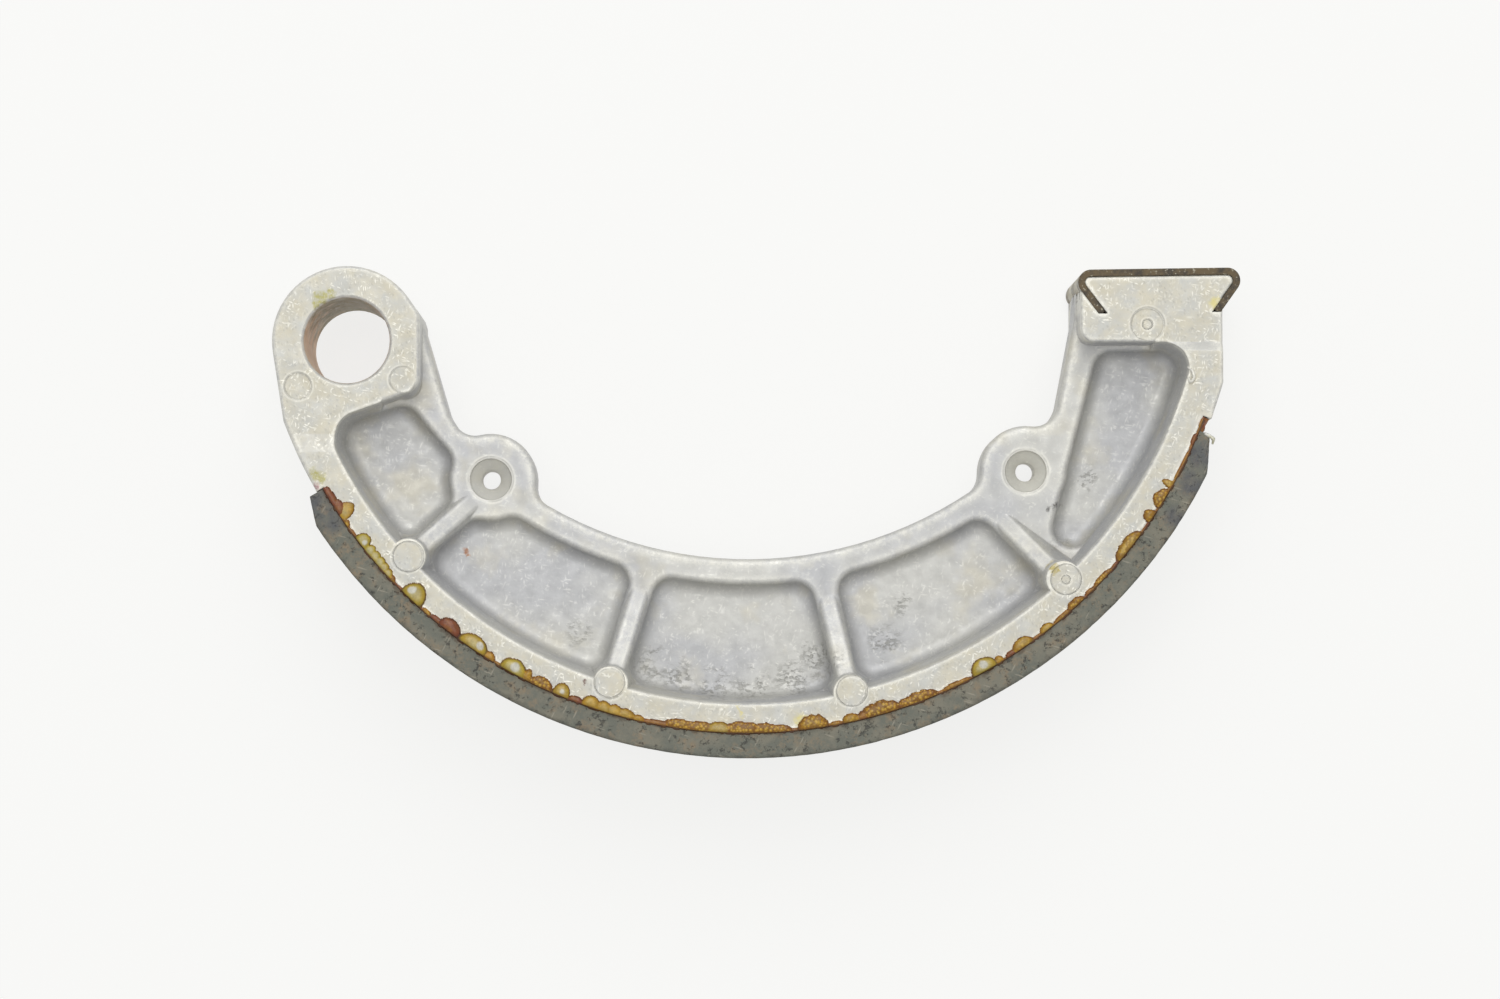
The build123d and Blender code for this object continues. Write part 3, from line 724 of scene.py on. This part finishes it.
amberAdhesive = {
    "start": -59.85,
    "end": 69.2,
    "beadGap": 0.3,  # degrees from the last bead to the end
    "along": 1000,
    "across": (80.7, 86.15, 28),
    "filmSteps": (330, 24),
    "plugSteps": (6, 4, 40),
    "highest": 1.04,
    "bead": {"reach": 0.34, "height": 0.20, "shadowOverLining": 0.24, "tone": 0.86},
    # for each tone: the colour in the middle of a drop, nearer its edge, and at its outline; the darkening
    # towards the edge and the dark outline are painted shade of a glassy drop
    "tones": (
        ((0.56, 0.50, 0.24), (0.46, 0.34, 0.030), (0.13, 0.075, 0.010)),
        ((0.56, 0.33, 0.03), (0.44, 0.215, 0.010), (0.13, 0.045, 0.005)),
        ((0.26, 0.085, 0.032), (0.20, 0.050, 0.016), (0.060, 0.016, 0.006)),
    ),
    "shadowOverLining": (0.055, 0.020, 0.009),
    "highlightCream": (0.72, 0.71, 0.64),
    # froth bubble tops get a painted highlight, and the gaps between them painted shade
    "bubbleTopHighlight": (0.80, 0.50, 0.10, 1.0),
    "gap": (0.17, 0.055, 0.006, 1.0),
    "bubbleSize": 0.52,
    # painted highlights, the pale spots where bubbles in a clear drop catch the light: how many, and the
    # ranges of their place along and across, and size
    "bubbleHighlights": {"counts": (1, 2, 2, 3), "ranges": ((-0.45, 0.45), (0.35, 0.65), (0.22, 0.34))},
    "frothHeight": 0.10,
    "below": 0.12,  # how far the empty places of the lattice lie under the rim's face
    "foot": 0.20,  # and how far the adhesive reaches into it
    "filmEdge": (0.04, 0.05),
    "plugHollow": (0.50, 0.35),
    "plugEnd": 0.5,
    "plugTone": (1.85, 0.6),
    # noise, as for the casting
    "patterns": {
        "clouds": (1300.0, 4.0, 0.6, 0.35, 0.65, 0.80, 1.15),
        "roughness": (900.0, 3.0, 0.5, 0.3, 0.7, 0.16, 0.34),
    },
    "gapShare": 0.75,
    "bubbleShare": 0.70,
    "specular": 0.25,
    "coat": 0.18,
    "bumpDepth": 0.12,
    # middle in degrees, half length, reach onto the rim, height, tone (0 clear, 1 gold, 2 rust), froth
    "drops": (
        (-58.6, 2.4, 1.3, 0.45, 2.0, 0.0), (-57.1, 1.5, 1.8, 0.40, 1.9, 0.0),
        (-56.3, 1.6, 3.2, 0.26, 0.72, 0.0), (-54.9, 0.8, 0.9, 0.35, 1.1, 0.8),
        (-53.6, 0.9, 0.6, 0.25, 1.8, 0.0), (-52.1, 1.45, 2.2, 0.62, 0.0, 0.0),
        (-50.7, 1.1, 1.8, 0.48, 0.05, 0.0), (-49.8, 1.1, 1.8, 0.50, 0.1, 0.0),
        (-48.9, 1.1, 1.75, 0.50, 0.1, 0.0), (-48.1, 1.0, 1.6, 0.45, 0.2, 0.0),
        (-47.3, 0.9, 1.35, 0.42, 0.3, 0.0), (-46.5, 0.8, 0.9, 0.35, 1.1, 0.9),
        (-43.3, 2.35, 3.2, 1.00, 0.15, 0.0), (-40.9, 1.1, 0.8, 0.30, 1.3, 0.5),
        (-39.4, 1.5, 1.0, 0.40, 1.9, 0.0), (-37.6, 2.3, 2.3, 0.70, 2.0, 0.0),
        (-34.2, 2.9, 2.5, 0.90, 0.35, 0.0), (-31.9, 1.3, 1.4, 0.50, 1.3, 0.2),
        (-28.7, 2.5, 2.6, 1.00, 0.1, 0.0), (-26.9, 0.9, 2.1, 0.70, 0.9, 0.5),
        (-25.0, 2.3, 1.8, 0.50, 1.0, 1.0), (-22.4, 1.6, 2.3, 0.75, 0.5, 0.15),
        (-20.5, 1.5, 1.1, 0.42, 1.9, 0.0), (-18.7, 1.7, 2.1, 0.80, 0.70, 0.0),
        (-17.1, 1.5, 1.95, 0.72, 0.7, 0.0), (-15.8, 1.5, 1.85, 0.68, 0.7, 0.0),
        (-14.4, 1.9, 1.6, 0.60, 0.85, 0.3), (-12.9, 1.4, 1.1, 0.42, 1.2, 0.2),
        (-10.6, 3.0, 0.9, 0.38, 1.75, 0.1), (-7.6, 3.6, 1.7, 0.48, 1.1, 0.9),
        (-5.4, 2.6, 1.7, 0.46, 0.95, 0.9), (-3.3, 2.4, 1.9, 0.55, 0.5, 0.25),
        (-0.6, 4.0, 2.0, 0.55, 1.0, 1.0), (2.0, 2.6, 1.8, 0.50, 1.0, 1.0),
        (3.7, 2.4, 1.4, 0.45, 1.25, 0.9), (7.8, 2.8, 2.5, 0.80, 0.95, 0.8),
        (10.5, 1.2, 0.8, 0.32, 1.5, 0.4), (12.3, 1.6, 1.6, 0.52, 0.9, 0.5),
        (13.9, 1.3, 1.5, 0.50, 1.6, 0.3), (15.9, 3.7, 2.4, 0.66, 0.95, 1.0),
        (20.4, 4.0, 1.8, 0.52, 1.05, 1.0), (25.4, 3.0, 0.9, 0.38, 1.3, 0.5),
        (29.1, 2.5, 2.5, 0.90, 0.15, 0.0), (31.1, 0.9, 1.4, 0.50, 1.1, 0.2),
        (32.7, 1.2, 1.0, 0.40, 1.9, 0.0), (34.4, 2.2, 1.8, 0.60, 0.75, 0.4),
        (37.8, 1.4, 1.3, 0.48, 0.75, 0.0), (40.2, 2.2, 0.8, 0.32, 1.3, 0.5),
        (42.3, 1.9, 1.4, 0.52, 1.2, 0.8), (44.4, 1.0, 0.8, 0.30, 1.7, 0.0),
        (46.6, 2.6, 0.9, 0.38, 1.25, 0.8), (51.5, 3.4, 1.9, 0.70, 0.75, 0.6),
        (55.9, 1.2, 1.9, 0.68, 1.0, 0.7), (58.4, 1.9, 1.9, 0.50, 1.0, 0.9),
        (60.3, 0.7, 2.1, 0.30, 0.8, 0.5), (63.6, 2.4, 0.6, 0.26, 1.5, 0.2),
        (66.3, 1.2, 0.8, 0.34, 1.9, 0.0),
    ),
}


def between(share, first, second):
    share = min(1.0, max(0.0, share))
    return tuple(a + (b - a) * share for a, b in zip(first, second))


# colour of a tone at a share of the way from the middle of a drop to its outline, darkening outward as
# painted shade
def toneColour(tone, outward):
    tones = amberAdhesive["tones"]
    tone = min(1.999, max(0.0, tone))
    pairs = zip(tones[int(tone)], tones[int(tone) + 1])
    middle, nearer, outline = (between(tone % 1, a, b) for a, b in pairs)
    colour = between(fade(0.30, 0.80, outward), middle, nearer)
    return between(fade(0.80, 0.97, outward), colour, outline)


# pale spots inside each clear drop, painted highlights of bubbles, as shares of its length and reach
def dropBubbleHighlights():
    pale = amberAdhesive["bubbleHighlights"]
    luck = random.Random(7)
    found = []
    for middle, half, reach, top, tone, froth in amberAdhesive["drops"]:
        highlightSpots = []
        if froth < 0.2 and tone < 0.7 and half > 1.2:
            for index in range(luck.choice(pale["counts"])):
                highlightSpots.append([luck.uniform(*ends) for ends in pale["ranges"]])
        found.append(highlightSpots)
    return found


# height of the adhesive over the rim's face, its colour and its froth at one place
def adhesiveAt(degrees, radius, highlightSpots):
    settings = amberAdhesive
    along = math.radians(degrees) * shoe["landRadius"]
    joint = shoe["liningInside"]
    bead = settings["bead"]
    wave = wander(along, 0, 0, 1.5, 11) + 0.6 * wander(along, 0, 0, 0.6, 12)
    over = bead["shadowOverLining"] * (1 + 0.9 * wave)
    reach = bead["reach"] * (1 + 0.8 * wander(along, 0, 0, 2.2, 13))
    inward = joint - radius
    share = (inward + over) / max(over + reach, 0.05)
    height, froth, light, outward = -settings["below"], 0.0, 0.0, 0.5
    tone = bead["tone"] * 2 + 0.5 * wander(along, 0, 0, 3.0, 17)
    if 0 < share < 1:
        height = bead["height"] * (1 + 0.5 * wave) * math.sqrt(max(0.0, 1 - (2 * share - 1) ** 2))
    for drop, spotsHere in zip(settings["drops"], highlightSpots):
        middle, half, far, top, dropTone, dropFroth = drop
        run = math.radians(degrees - middle) * shoe["landRadius"] / half
        if abs(run) >= 1:
            continue
        rounded = math.sqrt(1 - run * run)
        ragged = 1 + (0.07 + 0.12 * dropFroth) * wander(along, middle, 0, 0.9, 14)
        limit = far * (rounded ** 0.8) * ragged
        cross = (inward + 0.12) / max(limit, 0.05)
        if not 0 < cross < 1:
            continue
        bulge = abs(2 * cross ** 0.8 - 1)
        rise = top * rounded ** 0.7 * math.sqrt(max(0.0, 1 - bulge * bulge))
        if rise > height:
            height, tone, froth = rise, dropTone, dropFroth
            outward = math.sqrt(run * run + (1 - run * run) * bulge * bulge)
            light = 0.0
            for offset, cut, size in spotsHere:
                apart = math.hypot((run - offset) * half, (cross - cut) * far) / (size * min(half, far))
                light = max(light, fade(1.12, 0.80, apart))
    colour = toneColour(tone + 0.25 * wander(along, radius, 0, 1.2, 15), outward)
    # painted highlight: the pale cream spots in clear drops
    colour = between(light * 0.8, colour, settings["highlightCream"])
    # painted shadow: where the adhesive lies over the lining it is coloured near black, as the shadow the
    # beads throw on the lining
    if radius > joint - 0.10:
        colour = between(0.85 * fade(joint - 0.10, joint + 0.10, radius), colour, settings["shadowOverLining"])
        froth *= 1 - fade(joint - 0.10, joint + 0.10, radius)
    if froth > 0 and height > 0:
        cells = noise.voronoi(Vector((along, radius, 3.0)) / (settings["bubbleSize"] * 1.3))[0]
        height += settings["frothHeight"] * froth * (1 - fade(0.15, 0.62, cells[0]))
    height = min(height + 0.03 * wander(along, radius, 1, 0.8, 16), settings["highest"])
    return height, (*colour, froth)


def makeAdhesiveMaterial():
    material, tree, shader = newMaterial("amberAdhesive")
    settings = amberAdhesive
    place = addNode(tree, "TexCoord").outputs["Object"]
    noises = patterns(tree, place, settings["patterns"])
    own = addNode(tree, "VertexColor", layer_name="adhesiveColour")
    colour = vectors(tree, "MULTIPLY", own.outputs["Color"], noises["clouds"])
    froth = own.outputs["Alpha"]
    size = {"Vector": place, "Scale": 1 / (settings["bubbleSize"] * mm)}
    cells = addNode(tree, "TexVoronoi", size).outputs["Distance"]
    # froth: the dark gaps between bubbles are painted shade and the pale bubble tops painted highlight; the
    # bubbles' shape comes from the mesh and the bump
    gaps = times(tree, spread(tree, cells, 0.38, 0.62), froth, settings["gapShare"])
    colour = tinted(tree, colour, settings["gap"], gaps)
    tops = times(tree, spread(tree, cells, 0.34, 0.12), froth, settings["bubbleShare"])
    colour = tinted(tree, colour, settings["bubbleTopHighlight"], tops)
    tree.links.new(colour, shader.inputs["Base Color"])
    tree.links.new(noises["roughness"], shader.inputs["Roughness"])
    shader.inputs["IOR"].default_value = 1.5
    shader.inputs["Specular IOR Level"].default_value = settings["specular"]
    shader.inputs["Coat Weight"].default_value = settings["coat"]
    shader.inputs["Coat Roughness"].default_value = 0.08
    lumps = times(tree, grain(tree, place, 1700.0, 3.0), 0.5)
    addBump(tree, shader, maths(tree, "ADD", lumps, times(tree, tops, 1.2)), 0.5, settings["bumpDepth"])
    return material


# the film in the joint, and the plug that fills the gap at the lining's far end
def filmPlace(degrees, radius, height):
    inset, wave = amberAdhesive["filmEdge"]
    along = math.radians(degrees) * radius
    end = shoe["halfWidth"] - inset - wave * wander(along, 0, height, 1.2, 21)
    return onShoe(degrees, radius, max(-end, min(end, height)))


def plugPlace(degrees, radius, height):
    half = shoe["halfWidth"]
    along = math.radians(degrees) * radius
    if radius > shoe["landRadius"] + 0.1:
        sunk, wave = amberAdhesive["plugHollow"]
        radius -= sunk + wave * wander(along, 0, height, 1.4, 22)
    if abs(height) > half - 0.01:
        end = amberAdhesive["plugEnd"]
        height *= 1 - (end + end * wander(along, radius, height, 1.1, 23)) / half
    return onShoe(degrees, radius, height)


def addAdhesive():
    settings = amberAdhesive
    half = shoe["halfWidth"]
    land = shoe["landRadius"]
    angles = steps(settings["start"], settings["end"] - settings["beadGap"], settings["along"])
    low, high, count = settings["across"]
    radii = steps(low, high, count)
    highlightSpots = dropBubbleHighlights()
    work = bmesh.new()
    tints = work.verts.layers.float_color.new("adhesiveColour")
    grid = []
    for degrees in angles:
        line = []
        for radius in radii:
            height, colour = adhesiveAt(degrees, radius, highlightSpots)
            vertex = work.verts.new(onShoe(degrees, radius, half + height))
            vertex[tints] = colour
            line.append((vertex, height))
        grid.append(line)
    for lower, upper in zip(grid, grid[1:]):
        for index in range(len(radii) - 1):
            corners = (lower[index], lower[index + 1], upper[index + 1], upper[index])
            if max(height for vertex, height in corners) > 0:
                work.faces.new([vertex for vertex, height in corners])
    bmesh.ops.delete(work, geom=[vertex for vertex in work.verts if not vertex.link_faces], context="VERTS")
    below = bmesh.ops.extrude_face_region(work, geom=list(work.faces))
    for item in below["geom"]:
        if isinstance(item, bmesh.types.BMVert):
            item.co.z = (half - settings["foot"]) * mm

    spots, faces = [], []
    alongCount, upCount = settings["filmSteps"]
    along = steps(settings["start"], settings["end"], alongCount)
    outward = [land, shoe["liningInside"]]
    latticeFaces(spots, faces, along, outward, steps(-half, half, upCount), filmPlace)
    alongCount, outCount, upCount = settings["plugSteps"]
    along = steps(frictionLining["end"], settings["end"], alongCount)
    outward = steps(land, shoe["shoulderRadius"], outCount)
    latticeFaces(spots, faces, along, outward, steps(-half, half, upCount), plugPlace)
    tone, toneWave = settings["plugTone"]
    added = []
    for spot in spots:
        vertex = work.verts.new(spot)
        vertex[tints] = (*toneColour(tone + toneWave * wander(*(spot / mm), 1.1, 24), 0.5), 0.0)
        added.append(vertex)
    for face in faces:
        work.faces.new([added[number] for number in face])
    mesh = bpy.data.meshes.new("amberAdhesive")
    work.to_mesh(mesh)
    work.free()
    finishMesh(mesh, 60)
    addPiece("amberAdhesive", mesh, makeAdhesiveMaterial(), "bond_adhesive")


addAdhesive()
print("adhesive is made")


castingMarks = {
    "ringSteps": 56,
    "flashSteps": 6,
    # rings round the ejector marks: place, radius, the ring's own radius, height of the face
    "rings": (
        (125.66, -41.75, 2.70, 0.06, 15.0), (125.66, -41.75, 0.75, 0.07, 15.0),
        (46.0, -59.6, 2.70, 0.06, 15.0), (88.3, -61.2, 2.70, 0.06, 15.0), (11.0, -37.8, 2.70, 0.06, 15.0),
        (140.15, 2.93, 0.85, 0.07, 13.88),
    ),
    "flash": (
        # threads of flash: radius, then the line that they follow
        (0.26, (
            (147.1, -4.6, 15.0), (147.9, -5.4, 15.35), (148.1, -6.6, 15.5), (147.5, -7.2, 15.3),
            (147.2, -6.4, 15.1),
        )),
        (0.30, ((149.9, -16.2, 14.7), (150.7, -16.6, 15.0), (151.5, -17.2, 14.9), (151.4, -18.1, 14.6))),
    ),
}


def smoothLine(knots, count):
    places = []
    ends = [knots[0] * 2 - knots[1], *knots, knots[-1] * 2 - knots[-2]]
    for a, b, c, d in zip(ends, ends[1:], ends[2:], ends[3:]):
        for index in range(count):
            t = index / count
            bend = a * 2 - b * 5 + c * 4 - d
            twist = b * 3 - a - c * 3 + d
            places.append((b * 2 + (c - a) * t + bend * t * t + twist * t ** 3) / 2)
    places.append(knots[-1])
    return places


# a tube round a line of places, in millimetres, with a radius for each place
def tubeFaces(spots, faces, places, radii, closed, sides=10):
    first = len(spots)
    count = len(places)
    for index, (place, radius) in enumerate(zip(places, radii)):
        after = places[(index + 1) % count] if closed or index + 1 < count else place
        before = places[index - 1] if closed or index else place
        ahead = (after - before).normalized()
        out = ahead.cross(Vector((0, 0, 1))).normalized()
        up = out.cross(ahead)
        for side in range(sides):
            turn = 2 * math.pi * side / sides
            spots.append((place + (out * math.cos(turn) + up * math.sin(turn)) * radius) * mm)
    for index in range(count if closed else count - 1):
        for side in range(sides):
            a = first + index * sides
            b = first + (index + 1) % count * sides
            nextSide = (side + 1) % sides
            faces.append((a + side, a + nextSide, b + nextSide, b + side))
    if not closed:
        faces.append(tuple(first + side for side in range(sides)))
        faces.append(tuple(first + (count - 1) * sides + side for side in range(sides)))


def addMark(name, spots, faces):
    mesh = bpy.data.meshes.new(name)
    mesh.from_pydata(spots, [], faces)
    finishMesh(mesh, 60)
    addPiece(name, mesh, castMaterial)


def addMarks():
    spots, faces = [], []
    count = castingMarks["ringSteps"]
    for x, y, radius, thick, height in castingMarks["rings"]:
        places = []
        for index in range(count):
            turn = 2 * math.pi * index / count
            places.append(Vector((x + radius * math.cos(turn), y + radius * math.sin(turn), height)))
        radii = [thick * (1 + 0.35 * wander(*place, 0.9, 31)) for place in places]
        tubeFaces(spots, faces, places, radii, True, 8)
    addMark("ejectorRings", spots, faces)

    spots, faces = [], []
    for thick, line in castingMarks["flash"]:
        places = smoothLine([Vector(knot) for knot in line], castingMarks["flashSteps"])
        radii = []
        for index, place in enumerate(places):
            taper = math.sin(math.pi * (0.15 + 0.7 * index / (len(places) - 1)))
            radii.append(thick * (0.35 + 0.65 * taper) * (1 + 0.4 * wander(*place, 0.5, 32)))
        tubeFaces(spots, faces, places, radii, False)
    addMark("flashThreads", spots, faces)


addMarks()
print("rings and flash are made")
